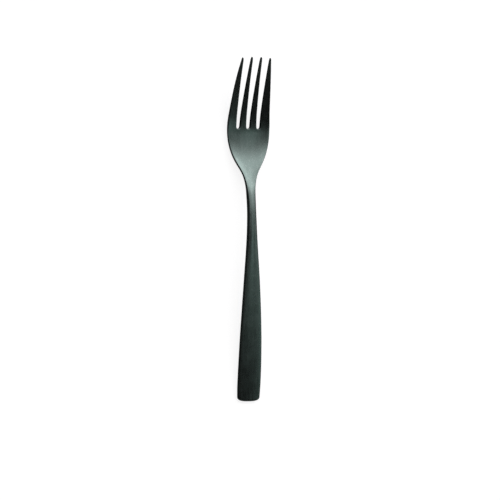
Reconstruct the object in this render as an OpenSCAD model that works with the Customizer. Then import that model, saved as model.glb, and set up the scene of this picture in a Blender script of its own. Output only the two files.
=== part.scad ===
// Dinner fork, forged in one piece.
// The blank is drawn flat, as [across, along] points with a thickness, and then bent along its length.
// The tines point along +Y, and the fork lies on its heel and on the underside of its palm.

/* [Lengths along the metal] */
// From the end of the handle to the narrowest point of the neck
handle_len = 117; // [90:1:140]
// From the narrowest point of the neck to the bottoms of the slots
palm_len = 47; // [38:1:60]
// From the bottoms of the slots to the tips of the tines
tine_len = 46; // [34:0.5:60]

/* [Handle] */
// Greatest width of the handle
handle_w = 14.3; // [10:0.1:18]
// Width of the handle where its rounded end begins
end_w = 13.8; // [9:0.1:18]
// Length of the handle's rounded end
end_depth = 3.1; // [1.5:0.1:6]
// Thickness of the handle half way along
handle_t = 3.4; // [2.4:0.1:4.5]
// Thickness of the handle at its end
end_t = 2.6; // [1.8:0.1:3.4]
// Length of the heel, the end of the handle that rests on the table
heel_len = 9; // [6:0.5:14]
// Rise of the handle's top from its edges to its middle
handle_crown = 0.5; // [0:0.05:0.8]
// Drop of the handle's underside from its edges to its middle, past the heel
handle_belly = 0.25; // [0:0.05:0.5]

/* [Neck] */
// Width of the neck at its narrowest point
neck_w = 5.1; // [3:0.1:7]
// Thickness of the neck
neck_t = 4.4; // [3.4:0.1:5.5]
// Rise of the neck's top from its edges to its middle
neck_crown = 0.9; // [0.2:0.05:1.4]
// Drop of the neck's underside from its edges to its middle
neck_belly = 0.8; // [0.2:0.05:1.2]

/* [Palm] */
// Greatest width of the head, just past the bottoms of the slots
palm_w = 26.2; // [22:0.1:32]
// Thickness of the palm
palm_t = 2.3; // [1.6:0.1:3]
// Depth of the hollow in the palm, from its edges to its middle
palm_dish = 1.25; // [0:0.05:2.5]

/* [Tines and slots] */
// Number of tines
tines = 4; // [2:1:4]
// Width of a slot at its round bottom
slot_w = 2.2; // [2:0.1:4]
// Distance between the middles of two slots, at their bottoms
slot_pitch = 6.3; // [5.4:0.05:7]
// Width of the gap between two tines, at their tips
tip_gap = 4.35; // [3:0.05:4.9]
// Distance between the middles of two gaps, at the tips
tip_pitch = 5.7; // [5.4:0.05:6.5]
// Width across all the tines, at their tips
tip_spread = 18.1; // [17.5:0.1:24]
// Length over which a tip is rounded to its point
tip_point = 1.7; // [0.5:0.1:5]
// How far the middle of the row of tips stands in front of the outer tips
tip_lead = 0.5; // [0:0.1:3]
// Thickness of a tine at its tip
tip_t = 0.95; // [0.8:0.05:1.8]
// Height of the outer tines over the middle, at their tips
tip_dish = 0.1; // [0:0.05:1.5]

/* [Edges] */
// Radius of the handle's edges
handle_edge = 0.8; // [0.3:0.05:1.1]
// Radius of the palm's edges
palm_edge = 0.45; // [0.2:0.05:0.9]
// Radius of a tine's edges, at its tip
tip_edge = 0.25; // [0.1:0.05:0.4]

/* [Bends, in degrees] */
// Angle in degrees that the heel bends up through, towards its end
heel_turn = 2.5; // [0:0.1:6]
// Angle in degrees that the arched handle bends down through
arch_turn = 9.9; // [4:0.1:18]
// Angle in degrees that the neck bends down through, towards the palm
neck_turn = 12.7; // [4:0.1:18]
// Angle in degrees that the palm bends up through, towards the slots
palm_turn = 13.3; // [4:0.1:18]
// Angle in degrees that the metal bends up through at the bottoms of the tines
root_turn = 23; // [8:0.5:28]
// Angle in degrees that the tines themselves bend up through
tine_turn = 8; // [0:0.5:20]

/* [Hidden] */

metal_colour = [0.25, 0.28, 0.27];

// Places along the metal, from the handle's end
neck_at = handle_len;
slot_at = neck_at + palm_len;
tip_at = slot_at + tine_len;

// Shares of the handle's length, from its end
widest_share = 0.105;
thickest_share = 0.5;
neck_from_share = 0.7;
fine_edge_share = 0.8;
arch_to_share = 0.89;
// Shares of the palm's length, from the neck
round_to_share = 0.1;
thick_to_share = 0.16;
neck_bend_share = 0.26;
dish_from_share = 0.1;
palm_bend_share = 0.55;
flat_from_share = 0.45;
dish_to_share = 0.45;
root_bend_share = 0.92;
// Shares of the tines' length, from the bottoms of the slots
shoulder_share = 0.045;
root_to_share = 0.23;
// Share of the handle's gain in thickness that the heel has where it ends
heel_t_share = 0.5;

// Share of the underside's half width that is flat across, so that the fork lies steadily
flat_share = 0.3;
// Most that one rounded edge takes, as a share of the metal's thickness
round_share = 0.42;

widest_at = handle_len * widest_share;
shoulder_at = slot_at + tine_len * shoulder_share;

// How the handle gains its width: share of the way from the neck, share of the width gained
flare_shares = [[0.13, 0.07], [0.25, 0.21], [0.42, 0.485], [0.6, 0.73], [0.8, 0.925]];
// How the palm gains its width: share of the way from the neck, share of the width gained
palm_shares = [
    [0.21, 0.01], [0.31, 0.08], [0.37, 0.155], [0.42, 0.25], [0.515, 0.5], [0.61, 0.71],
    [0.71, 0.86], [0.81, 0.955], [0.91, 0.993]];
// How the head narrows to the tips: share of the way from its widest point, share of the width lost
taper_shares = [[0.18, 0.14], [0.47, 0.375], [0.64, 0.55], [0.77, 0.7], [0.87, 0.85]];

// Each table holds [place along the metal, size there], from the handle's end to the tips
outline = concat(
    [[0, end_w / 2], [widest_at, handle_w / 2]],
    [for (i = [len(flare_shares) - 1:-1:0])
        [mix(neck_at, widest_at, flare_shares[i][0]), mix(neck_w, handle_w, flare_shares[i][1]) / 2]],
    [[neck_at, neck_w / 2]],
    [for (p = palm_shares) [mix(neck_at, shoulder_at, p[0]), mix(neck_w, palm_w, p[1]) / 2]],
    [[shoulder_at, palm_w / 2]],
    [for (p = taper_shares) [mix(shoulder_at, tip_at, p[0]), mix(palm_w, tip_spread, p[1]) / 2]],
    [[tip_at, tip_spread / 2]]);
thickness = [
    [0, end_t], [heel_len, mix(end_t, handle_t, heel_t_share)], [handle_len * thickest_share, handle_t],
    [neck_at, neck_t], [neck_at + palm_len * thick_to_share, neck_t],
    [neck_at + palm_len * flat_from_share, palm_t], [slot_at, palm_t], [tip_at, tip_t]];
crown = [
    [0, handle_crown], [handle_len * neck_from_share, handle_crown], [neck_at, neck_crown],
    [neck_at + palm_len * round_to_share, neck_crown],
    [neck_at + palm_len * flat_from_share, 0], [tip_at, 0]];
belly = [
    [0, 0], [heel_len, 0], [2 * heel_len, handle_belly],
    [handle_len * neck_from_share, handle_belly], [neck_at, neck_belly],
    [neck_at + palm_len * round_to_share, neck_belly],
    [neck_at + palm_len * flat_from_share, 0], [tip_at, 0]];
dish = [
    [0, 0], [neck_at + palm_len * dish_from_share, 0], [neck_at + palm_len * dish_to_share, palm_dish],
    [slot_at, palm_dish], [tip_at, tip_dish]];
edge = [
    [0, handle_edge], [handle_len * fine_edge_share, handle_edge],
    [neck_at + palm_len * flat_from_share, palm_edge], [slot_at, palm_edge], [tip_at, tip_edge]];

// Each bend is [length along the metal, angle that it turns upwards]
bends = [
    [heel_len, heel_turn],
    [neck_at * arch_to_share - heel_len, -arch_turn],
    [neck_at * (1 - arch_to_share) + palm_len * neck_bend_share, -neck_turn],
    [palm_len * (palm_bend_share - neck_bend_share), 0],
    [palm_len * (root_bend_share - palm_bend_share), palm_turn],
    [palm_len * (1 - root_bend_share) + tine_len * root_to_share, root_turn],
    [tine_len * (1 - root_to_share), tine_turn]];

// Numbers of cells in the mesh of the faces
tine_cells = 4;
slot_cells = 6;
end_rows = 3;
handle_rows = 17;
palm_rows = 18;
slot_rows = 3;
tine_rows = 12;
edge_cells = 3;

// A small step along the metal, on which a slope is measured
nudge = tine_len / 500;

// Angle at step j of so many round a half circle
function half_round(j, steps) = 180 * j / steps;
function mix(a, b, share) = a + (b - a) * share;
function total(list, i = 0) = i < len(list) ? list[i] + total(list, i + 1) : 0;
function unit(v) = v / norm(v);
function raised(x, power) = sign(x) * pow(abs(x), power);

// Smooth curve through a table of [place, size], which never overshoots a size
function flow(table, at) =
    let (i = max(0, min(len(table) - 2, len([for (p = table) if (p[0] <= at) 1]) - 1)),
         span = table[i + 1][0] - table[i][0],
         x = max(0, min(1, (at - table[i][0]) / span)),
         a = knot_slope(table, i) * span,
         b = knot_slope(table, i + 1) * span)
    (1 + 2 * x) * pow(1 - x, 2) * table[i][1] + x * pow(1 - x, 2) * a
        + x * x * (3 - 2 * x) * table[i + 1][1] - x * x * (1 - x) * b;
function knot_slope(table, i) =
    i == 0 || i == len(table) - 1 ? 0 :
    let (a = rise(table, i - 1), b = rise(table, i))
    a * b <= 0 ? 0 : 2 * a * b / (a + b);
function rise(table, i) = (table[i + 1][1] - table[i][1]) / (table[i + 1][0] - table[i][0]);

// Side view of the middle of the metal: heading and [y, z] place, before the fork is laid on the table
function turned(s, i = 0) =
    i == len(bends) ? 0 :
    bends[i][1] * max(0, min(1, s / bends[i][0])) + turned(s - bends[i][0], i + 1);
function spine(s, heading = 0, i = 0) =
    i == len(bends) || s <= 0 ? [0, 0] :
    let (run = min(s, bends[i][0]),
         turn = bends[i][1] * run / bends[i][0],
         half = turn * PI / 360,
         chord = half == 0 ? run : run * sin(turn / 2) / half)
    chord * [cos(heading + turn / 2), sin(heading + turn / 2)] + spine(s - run, heading + turn, i + 1);

// Flat blank: half width, thickness above and below the middle, and edge radius
function half_w(s) = flow(outline, s);
function top_bow(s) = flow(dish, s) - flow(crown, s);
function under_bow(s) = flow(dish, s) + flow(belly, s);
// How far a point is past the flat middle of the underside, from 0 there to 1 at the metal's side
function past_flat(p) = max(0, abs(p.x) / half_w(p.y) - flat_share) / (1 - flat_share);
function top_h(p) = flow(thickness, p.y) / 2 + top_bow(p.y) * pow(p.x / half_w(p.y), 2);
function under_h(p) = -flow(thickness, p.y) / 2 + under_bow(p.y) * pow(past_flat(p), 2);
// Slopes of the two faces across the metal
function top_lean(p) = 2 * top_bow(p.y) * p.x / pow(half_w(p.y), 2);
function under_lean(p) = 2 * under_bow(p.y) * sign(p.x) * past_flat(p) / half_w(p.y) / (1 - flat_share);
function edge_r(s) = min(flow(edge, s), half_w(s) / 2, s < slot_at ? palm_w : narrowest_tine(s) / 3);

// Slots and tines: a slot's middle, and where the two sides of a tine are
function slot_share(s) = max(0, min(1, (s - slot_at) / tine_len));
function gap_w(s) = mix(slot_w, tip_gap, slot_share(s));
function slot_x(slot, s) = (slot - (tines - 2) / 2) * mix(slot_pitch, tip_pitch, slot_share(s));
function narrowest_tine(s) =
    min(tines > 2 ? slot_x(1, s) - slot_x(0, s) - gap_w(s) : palm_w,
        half_w(s) - slot_x(tines - 2, s) - gap_w(s) / 2);
function side_x(tine, side, s) =
    side < 0 ? (tine == 0 ? -half_w(s) : slot_x(tine - 1, s) + gap_w(s) / 2)
             : (tine == tines - 1 ? half_w(s) : slot_x(tine, s) - gap_w(s) / 2);
function side_slope(tine, side, s) =
    (side_x(tine, side, s + nudge) - side_x(tine, side, s - nudge)) / (2 * nudge);
function side_normal(tine, side, s) = unit(side * [1, -side_slope(tine, side, s)]);
// The side of the flat top face, which stops short of the metal's side by the edge radius
function face_x(tine, side, s) =
    side_x(tine, side, s) - side * edge_r(s) * norm([1, side_slope(tine, side, s)]);

// Round bottom of a slot, and the last full row of points, which runs along the tines' roots and these arcs
slot_mid_at = slot_at + slot_w / 2;
slot_reach = gap_w(slot_mid_at) / 2 + edge_r(slot_mid_at);
function slot_arc(slot, turn) =
    [slot_x(slot, slot_mid_at), slot_mid_at] - slot_reach * [cos(turn), sin(turn)];
root_row = concat(
    [for (tine = [0:tines - 1]) each concat(
        [for (j = [0:tine_cells]) tine_point(tine, j, slot_mid_at)],
        tine == tines - 1 ? [] :
            [for (j = [1:slot_cells - 1]) slot_arc(tine, half_round(j, slot_cells))])]);
function tine_point(tine, j, s) = [mix(face_x(tine, -1, s), face_x(tine, 1, s), j / tine_cells), s];
cells = len(root_row) - 1;

// Rows of points across the handle and the palm
function row(s) = [for (p = root_row) [p.x / root_row[cells].x * face_x(tines - 1, 1, s), s]];
function row_between(a, b, share) = [for (j = [0:cells]) mix(a[j], b[j], share)];

// Rounded end of the handle, a little squarer than an ellipse
end_power = 3;
function end_turn(j) = 180 + half_round(j, cells);
function end_point(j) =
    [half_w(end_depth) * raised(cos(end_turn(j)), 2 / end_power),
     end_depth * (1 + raised(sin(end_turn(j)), 2 / end_power))];
function end_normal(j) =
    unit([raised(cos(end_turn(j)), 2 - 2 / end_power) / half_w(end_depth),
          raised(sin(end_turn(j)), 2 - 2 / end_power) / end_depth]);
end_row = [for (j = [0:cells]) end_point(j) - edge_r(end_depth) * end_normal(j)];

// All full rows, from the handle's end to the bottoms of the slots
handle_from_share = 2.5;
palm_from_share = 0.1;
handle_from = end_depth * handle_from_share;
palm_from = neck_at - palm_len * palm_from_share;
palm_to = slot_at - palm_edge - slot_w;
full_rows = concat(
    [for (i = [0:end_rows - 1]) row_between(end_row, row(handle_from), i / end_rows)],
    [for (i = [0:handle_rows - 1]) row(mix(handle_from, palm_from, i / handle_rows))],
    [for (i = [0:palm_rows - 1]) row(mix(palm_from, palm_to, i / palm_rows))],
    [for (i = [0:slot_rows]) row_between(row(palm_to), root_row, i / slot_rows)]);

// Rows of one tine, from its root to the round tip
function tip_from(tine) = tip_at - tip_point - tip_lead * pow(2 * tine / (tines - 1) - 1, 2);
function tip_x(tine, share) =
    mix(side_x(tine, -1, tip_from(tine)), side_x(tine, 1, tip_from(tine)), share);
function tip_normal(tine, turn) =
    unit([-cos(turn) * tip_point, sin(turn) * (tip_x(tine, 1) - tip_x(tine, 0)) / 2]);
function tip_arc(tine, turn) =
    [tip_x(tine, 1 / 2 - cos(turn) / 2), tip_from(tine) + tip_point * sin(turn)]
        - edge_r(tip_from(tine)) * tip_normal(tine, turn);
function tine_s(tine, i) = mix(slot_mid_at, tip_from(tine), i / tine_rows);
function tine_grid(tine) = concat(
    [for (i = [0:tine_rows - 1]) [for (j = [0:tine_cells]) tine_point(tine, j, tine_s(tine, i))]],
    [[for (j = [0:tine_cells]) tip_arc(tine, half_round(j, tine_cells))]]);

// The rim, as [point on the face's border, direction out of the metal], once round against the clock
function side_station(tine, side, p) = [p, side_normal(tine, side, p.y)];
last_row = len(full_rows) - 1;
rim = concat(
    [for (j = [0:cells]) [end_row[j], end_normal(j)]],
    [for (i = [1:last_row]) side_station(tines - 1, 1, full_rows[i][cells])],
    [for (tine = [tines - 1:-1:0]) each concat(
        [for (i = [1:tine_rows - 1]) side_station(tine, 1, tine_point(tine, tine_cells, tine_s(tine, i)))],
        [for (j = [tine_cells:-1:0]) let (turn = half_round(j, tine_cells))
            [tip_arc(tine, turn), tip_normal(tine, turn)]],
        [for (i = [tine_rows - 1:-1:1]) side_station(tine, -1, tine_point(tine, 0, tine_s(tine, i)))],
        tine == 0 ? [] :
            [for (j = [slot_cells:-1:0]) let (turn = half_round(j, slot_cells))
                [slot_border(tine - 1, j), [cos(turn), sin(turn)]]])],
    [for (i = [last_row:-1:1]) side_station(0, -1, full_rows[i][0])]);
function slot_border(slot, j) =
    j == 0 ? tine_point(slot, tine_cells, slot_mid_at) :
    j == slot_cells ? tine_point(slot + 1, 0, slot_mid_at) :
    slot_arc(slot, half_round(j, slot_cells));

// Bending: a point of the flat blank, at a height over its middle, goes to its place in the bent metal
function bent(p, h) =
    let (at = spine(p.y), heading = turned(p.y))
    [p.x, at.x - h * sin(heading), at.y + h * cos(heading)];
function top_point(p) = bent(p, top_h(p));
function under_point(p) = bent(p, under_h(p));

// Section of the rim at one station: round over the top, wall, round under
function rim_section(station) =
    let (p = station[0], out = station[1], r = edge_r(p.y),
         top = top_h(p) + out.x * r * top_lean(p),
         under = under_h(p) + out.x * r * under_lean(p),
         drop = min(r, (top - under) * round_share))
    concat(
        [top_point(p)],
        [for (i = [1:edge_cells]) rounded(p, out * r, top_h(p), top, top - drop, i / edge_cells)],
        [for (i = [edge_cells:-1:1]) rounded(p, out * r, under_h(p), under, under + drop, i / edge_cells)],
        [under_point(p)]);
// Curve from a face to the wall, drawn towards the corner where the two would meet
function rounded(p, out, from, corner, to, share) =
    bent(p + out * (1 - pow(1 - share, 2)),
         pow(1 - share, 2) * from + 2 * share * (1 - share) * corner + share * share * to);

// Patches of the whole skin
function skin(grid) = [for (line = grid) [for (p = line) top_point(p)]];
function underskin(grid) = [for (line = grid) [for (i = [len(line) - 1:-1:0]) under_point(line[i])]];
tine_grids = [for (tine = [0:tines - 1]) tine_grid(tine)];
rim_sections = [for (station = rim) rim_section(station)];
patches = concat(
    [skin(full_rows), underskin(full_rows)],
    [for (grid = tine_grids) skin(grid)],
    [for (grid = tine_grids) underskin(grid)],
    [concat(rim_sections, [rim_sections[0]])]);

// Lay the fork down: the turn that brings the heel and the palm to one level
low_line = [for (s = [for (line = full_rows) line[cells / 2].y]) let (p = under_point([0, s])) [p.y, p.z]];
handle_line = [for (i = [0:end_rows + handle_rows]) low_line[i]];
head_line = [for (i = [end_rows + handle_rows + 1:last_row]) low_line[i]];
rest_turn = -max([for (a = handle_line) min([for (b = head_line) atan2(b.y - a.y, b.x - a.x)])]);

function laid(v) =
    [v.x, v.y * cos(rest_turn) - v.z * sin(rest_turn), v.y * sin(rest_turn) + v.z * cos(rest_turn)];
laid_patches = [for (patch = patches) [for (line = patch) [for (v = line) laid(v)]]];
laid_points = [for (patch = laid_patches, line = patch, v = line) v];
middle_y = (min([for (v = laid_points) v.y]) + max([for (v = laid_points) v.y])) / 2;
table_z = min([for (v = laid_points) v.z]);

// Solid inside patches of points that meet along their borders. Each cell of a patch is two triangles.
module quilt(patches) {
    starts = [for (i = [0:len(patches)])
        total([for (k = [0:len(patches) - 1]) k < i ? len(patches[k]) * len(patches[k][0]) : 0])];
    polyhedron(
        points = [for (patch = patches, line = patch, v = line) v],
        faces = [for (k = [0:len(patches) - 1])
            let (wide = len(patches[k][0]))
            for (i = [0:len(patches[k]) - 2], j = [0:wide - 2])
                let (a = starts[k] + i * wide + j)
                each [[a, a + wide, a + wide + 1], [a, a + wide + 1, a + 1]]],
        convexity = 8);
}

// The fork, with its origin under the middle of its length, on the table
module fork() {
    color(metal_colour)
        translate([0, -middle_y, -table_z])
            quilt(laid_patches);
}

fork();
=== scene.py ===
import math

import bmesh
import bpy
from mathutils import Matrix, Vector


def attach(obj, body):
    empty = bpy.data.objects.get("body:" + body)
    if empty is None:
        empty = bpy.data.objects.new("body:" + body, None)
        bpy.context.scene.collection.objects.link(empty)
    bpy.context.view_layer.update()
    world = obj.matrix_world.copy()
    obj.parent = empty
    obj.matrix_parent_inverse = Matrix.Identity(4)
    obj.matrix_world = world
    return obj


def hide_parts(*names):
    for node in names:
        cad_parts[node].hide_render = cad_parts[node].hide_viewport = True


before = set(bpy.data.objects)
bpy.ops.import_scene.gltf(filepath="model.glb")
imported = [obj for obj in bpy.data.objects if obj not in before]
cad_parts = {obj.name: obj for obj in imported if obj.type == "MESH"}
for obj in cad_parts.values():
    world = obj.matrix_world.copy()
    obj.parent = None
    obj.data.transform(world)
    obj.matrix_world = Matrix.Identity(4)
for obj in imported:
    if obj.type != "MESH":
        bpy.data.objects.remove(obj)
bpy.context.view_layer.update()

# Sizes are in metres and angles in degrees, unless a name says otherwise.
MM = 0.001

# View of the photograph: the fork lies along the picture's height, rolled about its own length
PHOTO_ROLL = 17.5
PHOTO_TURN = 0.158
PHOTO_WIDTH = 297.5 * MM
CAMERA_DISTANCE = 1.6
CAMERA_SENSOR = 36 * MM
FORK_OFF_CENTRE_X = 0.82 * MM
FORK_OFF_CENTRE_Y = 11.96 * MM
MEAN_HEIGHT = 8 * MM

# Table
FLOOR_RADIUS = 20.0
FLOOR_SIDES = 64
COVE_HEIGHT = 2.5
FLOOR_COLOUR = (0.25, 0.25, 0.25, 1)
FLOOR_ROUGHNESS = 0.9
FLOOR_GLOW = 0.85

# Lights. Each is a soft round panel on the room's dome: how far it stands along the fork and across it,
# counted from overhead, its level as a share of a white card's, how tightly it is gathered, its colour.
# Three softboxes stand in an even row beyond the tips, brighter to the right. The walls and the corners
# stand at mirrored places.
COOL = (0.82, 1.02, 0.98)
PLAIN = (1.0, 1.0, 1.0)
DAYLIGHT = (1.0, 0.98, 1.0)
ROW_ALONG = 35
ROW_MIDDLE = 20
ROW_STEP = 40
WALL = 90
CORNER = -45
LIGHTS = {
    "left_softbox": (ROW_ALONG, ROW_MIDDLE - ROW_STEP, 3, 20, DAYLIGHT),
    "softbox": (ROW_ALONG, ROW_MIDDLE, 4, 20, DAYLIGHT),
    "right_softbox": (ROW_ALONG, ROW_MIDDLE + ROW_STEP, 5, 20, DAYLIGHT),
    "overhead_strip": (0, 15, 1, 100, COOL),
    "right_fill": (-10, 45, 1, 50, COOL),
    "left_wall": (0, -WALL, 0.5, 15, PLAIN),
    "right_wall": (0, WALL, 1.5, 15, PLAIN),
    "back_wall": (-WALL, 0, 1, 15, PLAIN),
    "right_corner": (CORNER, WALL, 1.5, 25, PLAIN),
    "left_corner": (CORNER, -WALL, 1, 25, PLAIN),
}
ROOM_COLOUR = (0.036, 0.03, 0.03)

# Coated steel
STEEL_COLOUR = (0.106, 0.138, 0.128, 1)
STEEL_DULL = (0.097, 0.125, 0.116, 1)
STEEL_BRUSHED = (0.117, 0.149, 0.139, 1)
# Painted shade: rims and side walls, found by how far their surface turns sideways or away from upright, are
# coloured near-black as if in shade
RIM_PAINTED_SHADE = (0.015, 0.019, 0.018, 1)
RIM_SHADE_TURN_SIDEWAYS = (0.31, 0.6)
RIM_SHADE_TURN_UPRIGHT = (0.5, 0.8)
GRAZING_TINT = (0.3, 0.34, 0.33, 1)
STEEL_ROUGHNESS = 0.28
BUMP_STRENGTH = 0.25
BUMP_HEIGHT = 0.01 * MM

# Patterns in the coating: how finely each is drawn, the stretch of its noise over which it sets in,
# and how much it changes the colour or the gloss
GRAIN_SCALE = 7000
CLOUD_SCALE = 90
CLOUD_RANGE = (0.3, 0.7)
CLOUD_GLOSS = 0.025
BRUSHING_STRETCH = (900, 22, 900)
BRUSHING_TINT_RANGE = (0.25, 0.75)
BRUSHING_TINT = 0.5
BRUSHING_GLOSS_RANGE = (0.3, 0.7)
BRUSHING_GLOSS = 0.02
HAIRLINE_STRETCH = (9000, 140, 9000)
HAIRLINE_RANGE = (0.35, 0.65)
HAIRLINE_GLOSS = 0.02
SCRATCH_STRETCH = (1900, 300, 1900)
SCRATCH_RANGE = (0.6, 0.7)
SCRATCH_SLANT = 38
SCRATCH_STRENGTH = 0.4
SCRATCH_COLOUR = (0.17, 0.2, 0.19, 1)

# Smoothing of the solid's faces
MERGE_DISTANCE = 0.001 * MM
SMOOTHING_LEVELS = 1


def skin_of(node, name):
    """A smooth copy of a CAD node: its loose triangles merged, paired up and subdivided."""
    shape = bmesh.new()
    shape.from_mesh(node.data)
    bmesh.ops.remove_doubles(shape, verts=shape.verts, dist=MERGE_DISTANCE)
    bmesh.ops.join_triangles(
        shape, faces=shape.faces, angle_face_threshold=math.pi, angle_shape_threshold=math.pi
    )
    for face in shape.faces:
        face.smooth = True
    mesh = bpy.data.meshes.new(name)
    shape.to_mesh(mesh)
    shape.free()
    piece = bpy.data.objects.new(name, mesh)
    bpy.context.scene.collection.objects.link(piece)
    smoothing = piece.modifiers.new("smoothing", "SUBSURF")
    smoothing.levels = SMOOTHING_LEVELS
    smoothing.render_levels = SMOOTHING_LEVELS
    return piece


class Wiring:
    """A node tree, with short calls to add nodes and join them."""

    def __init__(self, tree):
        self.tree = tree

    def add(self, kind, **settings):
        node = self.tree.nodes.new(kind)
        for key, value in settings.items():
            setattr(node, key, value)
        return node

    def join(self, source, target):
        self.tree.links.new(source, target)

    def math(self, operation, a, b=None):
        node = self.add("ShaderNodeMath", operation=operation)
        for socket, value in zip(node.inputs, (a, b)):
            if value is None:
                continue
            if isinstance(value, (int, float)):
                socket.default_value = value
            else:
                self.join(value, socket)
        return node.outputs[0]

    def noise(self, place, scale, detail=2.0, stretch=(1, 1, 1), slant=0):
        if slant:
            turned = self.add("ShaderNodeVectorRotate", rotation_type="Z_AXIS")
            turned.inputs["Angle"].default_value = math.radians(slant)
            self.join(place, turned.inputs["Vector"])
            place = turned.outputs[0]
        mapping = self.add("ShaderNodeMapping")
        mapping.inputs["Scale"].default_value = stretch
        self.join(place, mapping.inputs["Vector"])
        node = self.add("ShaderNodeTexNoise")
        node.inputs["Scale"].default_value = scale
        node.inputs["Detail"].default_value = detail
        self.join(mapping.outputs[0], node.inputs["Vector"])
        return node.outputs["Fac"]

    def ramp(self, value, low, high, out_low, out_high):
        node = self.add("ShaderNodeMapRange", interpolation_type="SMOOTHSTEP")
        self.join(value, node.inputs["Value"])
        node.inputs["From Min"].default_value = low
        node.inputs["From Max"].default_value = high
        node.inputs["To Min"].default_value = out_low
        node.inputs["To Max"].default_value = out_high
        return node.outputs[0]

    def mix(self, factor, a, b):
        node = self.add("ShaderNodeMix", data_type="RGBA")
        self.join(factor, node.inputs["Factor"])
        for socket, value in ((node.inputs[6], a), (node.inputs[7], b)):
            if isinstance(value, tuple):
                socket.default_value = value
            else:
                self.join(value, socket)
        return node.outputs[2]


def material(name):
    """A new material with nodes, its wiring and its main shader."""
    made = bpy.data.materials.new(name)
    made.use_nodes = True
    return made, Wiring(made.node_tree), made.node_tree.nodes["Principled BSDF"]


def coated_steel():
    """Dark satin coating on stainless steel: brushed along the fork, cloudy in its gloss, with painted shade
    on its rims and side walls.
    """
    steel, w, shader = material("dark_satin_steel")
    coords = w.add("ShaderNodeTexCoord")
    place = coords.outputs["Object"]
    normal = w.add("ShaderNodeSeparateXYZ")
    w.join(coords.outputs["Normal"], normal.inputs[0])
    # Painted shade mask: the more a surface turns sideways or away from upright, the more of the near-black
    # shade colour it gets
    sideways_shade = w.ramp(w.math("ABSOLUTE", normal.outputs["X"]), *RIM_SHADE_TURN_SIDEWAYS, 0.0, 1.0)
    upright_shade = w.ramp(w.math("ABSOLUTE", normal.outputs["Z"]), *RIM_SHADE_TURN_UPRIGHT, 1.0, 0.0)
    rim_shade_share = w.math("MAXIMUM", sideways_shade, upright_shade)

    grain = w.noise(place, GRAIN_SCALE, detail=3)
    clouds = w.noise(place, CLOUD_SCALE, detail=5)
    brushing = w.noise(place, 1, detail=3, stretch=BRUSHING_STRETCH)
    hairlines = w.noise(place, 1, detail=2, stretch=HAIRLINE_STRETCH)

    marks = []
    for slant in (SCRATCH_SLANT, -SCRATCH_SLANT):
        streaks = w.noise(place, 1, detail=1, stretch=SCRATCH_STRETCH, slant=slant)
        marks.append(w.ramp(streaks, *SCRATCH_RANGE, 0.0, 1.0))
    scratches = w.math("MAXIMUM", *marks)

    tint = w.mix(w.ramp(clouds, *CLOUD_RANGE, 0.0, 1.0), STEEL_DULL, STEEL_COLOUR)
    tint = w.mix(w.ramp(brushing, *BRUSHING_TINT_RANGE, 0.0, BRUSHING_TINT), tint, STEEL_BRUSHED)
    tint = w.mix(w.math("MULTIPLY", scratches, SCRATCH_STRENGTH), tint, SCRATCH_COLOUR)
    # Painted shade mixed over the coating's colour on the rims and side walls
    w.join(w.mix(rim_shade_share, tint, RIM_PAINTED_SHADE), shader.inputs["Base Color"])

    rough = STEEL_ROUGHNESS
    for pattern, limits, spread in (
        (clouds, CLOUD_RANGE, CLOUD_GLOSS),
        (brushing, BRUSHING_GLOSS_RANGE, BRUSHING_GLOSS),
        (hairlines, HAIRLINE_RANGE, HAIRLINE_GLOSS),
    ):
        rough = w.math("ADD", rough, w.ramp(pattern, *limits, -spread, spread))
    w.join(rough, shader.inputs["Roughness"])
    shader.inputs["Metallic"].default_value = 1.0
    shader.inputs["Specular Tint"].default_value = GRAZING_TINT

    bump = w.add("ShaderNodeBump")
    bump.inputs["Strength"].default_value = BUMP_STRENGTH
    bump.inputs["Distance"].default_value = BUMP_HEIGHT
    w.join(w.math("ADD", grain, hairlines), bump.inputs["Height"])
    w.join(bump.outputs[0], shader.inputs["Normal"])
    return steel


def floor():
    """A plain white table with a low cove round it. What is looked at or mirrored glows a little."""
    shape = bmesh.new()
    bmesh.ops.create_circle(shape, cap_ends=True, segments=FLOOR_SIDES, radius=FLOOR_RADIUS)
    rim = [edge for edge in shape.edges if edge.is_boundary]
    cove = bmesh.ops.extrude_edge_only(shape, edges=rim)
    raised = [part for part in cove["geom"] if isinstance(part, bmesh.types.BMVert)]
    bmesh.ops.translate(shape, verts=raised, vec=(0, 0, COVE_HEIGHT))
    bmesh.ops.recalc_face_normals(shape, faces=shape.faces)
    mesh = bpy.data.meshes.new("floor")
    shape.to_mesh(mesh)
    shape.free()
    obj = bpy.data.objects.new("floor", mesh)
    bpy.context.scene.collection.objects.link(obj)
    white, w, shader = material("white_table")
    shader.inputs["Base Color"].default_value = FLOOR_COLOUR
    shader.inputs["Roughness"].default_value = FLOOR_ROUGHNESS
    shader.inputs["Specular IOR Level"].default_value = 0.0
    shader.inputs["Emission Color"].default_value = (1, 1, 1, 1)
    rays = w.add("ShaderNodeLightPath")
    seen = w.math("MAXIMUM", rays.outputs["Is Camera Ray"], rays.outputs["Is Glossy Ray"])
    seen = w.math("MAXIMUM", seen, rays.outputs["Is Transmission Ray"])
    w.join(w.math("MULTIPLY", seen, FLOOR_GLOW), shader.inputs["Emission Strength"])
    mesh.materials.append(white)


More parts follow.
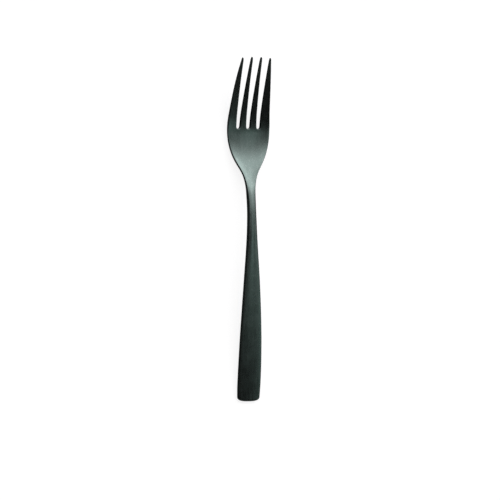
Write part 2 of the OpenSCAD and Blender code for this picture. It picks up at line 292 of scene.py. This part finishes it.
def studio():
    """A dim room of soft panels, each brightest at its middle and fading into the dome round it."""
    world = bpy.data.worlds.new("room")
    world.use_nodes = True
    w = Wiring(world.node_tree)
    direction = w.add("ShaderNodeTexCoord").outputs["Generated"]
    light = ROOM_COLOUR
    for name, (along, across, brightness, gathering, colour) in LIGHTS.items():
        up = math.cos(math.radians(along))
        panel = w.add("ShaderNodeVectorMath", operation="DOT_PRODUCT", label=name)
        w.join(direction, panel.inputs[0])
        panel.inputs[1].default_value = (
            up * math.sin(math.radians(across)),
            math.sin(math.radians(along)),
            up * math.cos(math.radians(across)),
        )
        near = w.math("POWER", w.math("MAXIMUM", panel.outputs["Value"], 0.0), gathering)
        tinted = w.add("ShaderNodeVectorMath", operation="SCALE")
        tinted.inputs[0].default_value = colour
        w.join(w.math("MULTIPLY", near, brightness), tinted.inputs["Scale"])
        total = w.add("ShaderNodeVectorMath", operation="ADD")
        w.join(tinted.outputs[0], total.inputs[0])
        if isinstance(light, tuple):
            total.inputs[1].default_value = light
        else:
            w.join(light, total.inputs[1])
        light = total.outputs[0]
    w.join(light, world.node_tree.nodes["Background"].inputs["Color"])
    bpy.context.scene.world = world


def camera():
    """The photograph's view: from above, a little to the fork's left, with the tips up."""
    data = bpy.data.cameras.new("camera")
    data.sensor_width = CAMERA_SENSOR / MM
    data.lens = CAMERA_SENSOR / MM * CAMERA_DISTANCE / PHOTO_WIDTH
    obj = bpy.data.objects.new("camera", data)
    bpy.context.scene.collection.objects.link(obj)
    roll = math.radians(PHOTO_ROLL)
    aim = Vector((-FORK_OFF_CENTRE_X, -FORK_OFF_CENTRE_Y, MEAN_HEIGHT))
    obj.location = aim + CAMERA_DISTANCE * Vector((-math.sin(roll), 0, math.cos(roll)))
    obj.rotation_euler = (0, -roll, 0)
    obj.rotation_euler.rotate_axis("Z", math.radians(-PHOTO_TURN))
    bpy.context.scene.camera = obj


fork = skin_of(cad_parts["fork"], "fork_skin")
fork.data.materials.append(coated_steel())
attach(fork, "root")
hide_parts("fork")

floor()
studio()
camera()
bpy.context.scene.view_settings.view_transform = "Standard"
